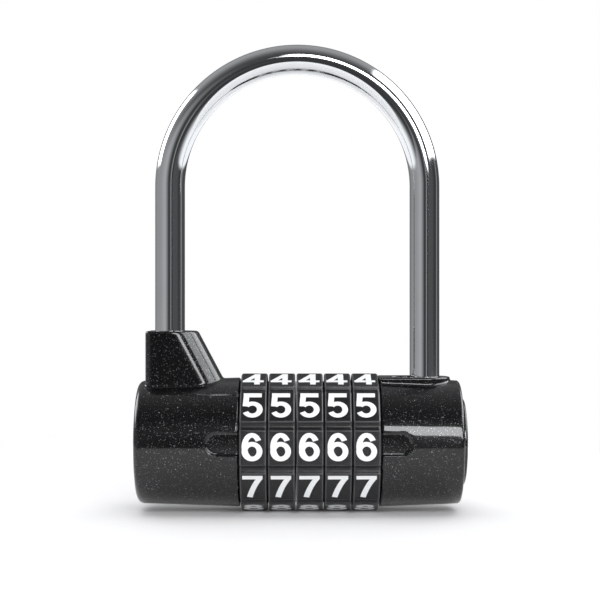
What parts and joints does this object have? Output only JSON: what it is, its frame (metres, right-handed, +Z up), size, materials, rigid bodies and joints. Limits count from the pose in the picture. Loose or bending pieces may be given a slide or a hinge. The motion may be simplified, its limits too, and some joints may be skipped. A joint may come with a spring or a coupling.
{
  "type": "combination padlock",
  "caption": "Combination padlock: barrel of number wheels between two housings, tall round-bar shackle; the right housing slides out and the shackle lifts clear.",
  "frame": {"origin": "centre of the bounding box's underside, where the number wheels touch the ground with the shackle upright", "axes": "+X along the barrel towards the sliding housing, -Y towards the side that shows the chosen digits, +Z up the shackle"},
  "size_m": [0.072, 0.029, 0.1019],
  "materials": {
    "housing_paint": "gloss black with fine metallic flecks",
    "disc_paint": "gloss black with fine metallic flecks",
    "wheel_paint": "satin black",
    "chrome": "polished chrome plate",
    "steel": "machined",
    "spring_steel": "drawn wire and strip",
    "brass": "machined",
    "washer_plastic": "matt black"
  },
  "bodies": {
    "left_body": {"left_housing": "housing_paint", "core_tube": "steel", "core_pin": "steel", "heel_pin": "steel", "heel_spring": "spring_steel", "spindle_spring": "spring_steel", "click_spring": "spring_steel", "spacer_washers": "washer_plastic", "retaining_ring": "spring_steel"},
    "wheel_1": {"number_wheel_1": "wheel_paint", "clutch_ring_1": "brass"},
    "wheel_2": {"number_wheel_2": "wheel_paint", "clutch_ring_2": "brass"},
    "wheel_3": {"number_wheel_3": "wheel_paint", "clutch_ring_3": "brass"},
    "wheel_4": {"number_wheel_4": "wheel_paint", "clutch_ring_4": "brass"},
    "wheel_5": {"number_wheel_5": "wheel_paint", "clutch_ring_5": "brass"},
    "cap": {"right_housing": "housing_paint", "spindle": "steel", "spindle_screw": "steel", "latch_block": "steel", "latch_pin": "steel", "end_disc": "disc_paint"},
    "shackle": {"shackle": "chrome"}
  },
  "joints": [
    {"name": "wheel_1_turn", "type": "hinge", "parent": "left_body", "child": "wheel_1", "pos_m": [-0.0101, 0, 0.01497], "axis": [1, 0, 0], "continuous": true, "deforming": ["click_spring"]},
    {"name": "wheel_2_turn", "type": "hinge", "parent": "left_body", "child": "wheel_2", "pos_m": [-0.0041, 0, 0.01497], "axis": [1, 0, 0], "continuous": true},
    {"name": "wheel_3_turn", "type": "hinge", "parent": "left_body", "child": "wheel_3", "pos_m": [0.0019, 0, 0.01497], "axis": [1, 0, 0], "continuous": true},
    {"name": "wheel_4_turn", "type": "hinge", "parent": "left_body", "child": "wheel_4", "pos_m": [0.0079, 0, 0.01497], "axis": [1, 0, 0], "continuous": true},
    {"name": "wheel_5_turn", "type": "hinge", "parent": "left_body", "child": "wheel_5", "pos_m": [0.0139, 0, 0.01497], "axis": [1, 0, 0], "continuous": true},
    {"name": "cap_slide", "type": "slide", "parent": "left_body", "child": "cap", "axis": [1, 0, 0], "range_m": [0, 0.006]},
    {"name": "shackle_lift", "type": "slide", "parent": "left_body", "child": "shackle", "axis": [0, 0, 1], "range_m": [0, 0.015], "deforming": ["heel_spring"]}
  ],
  "couplings": [
    {"joint": "shackle_lift", "follows": "cap_slide", "ratio": 2.5}
  ]
}
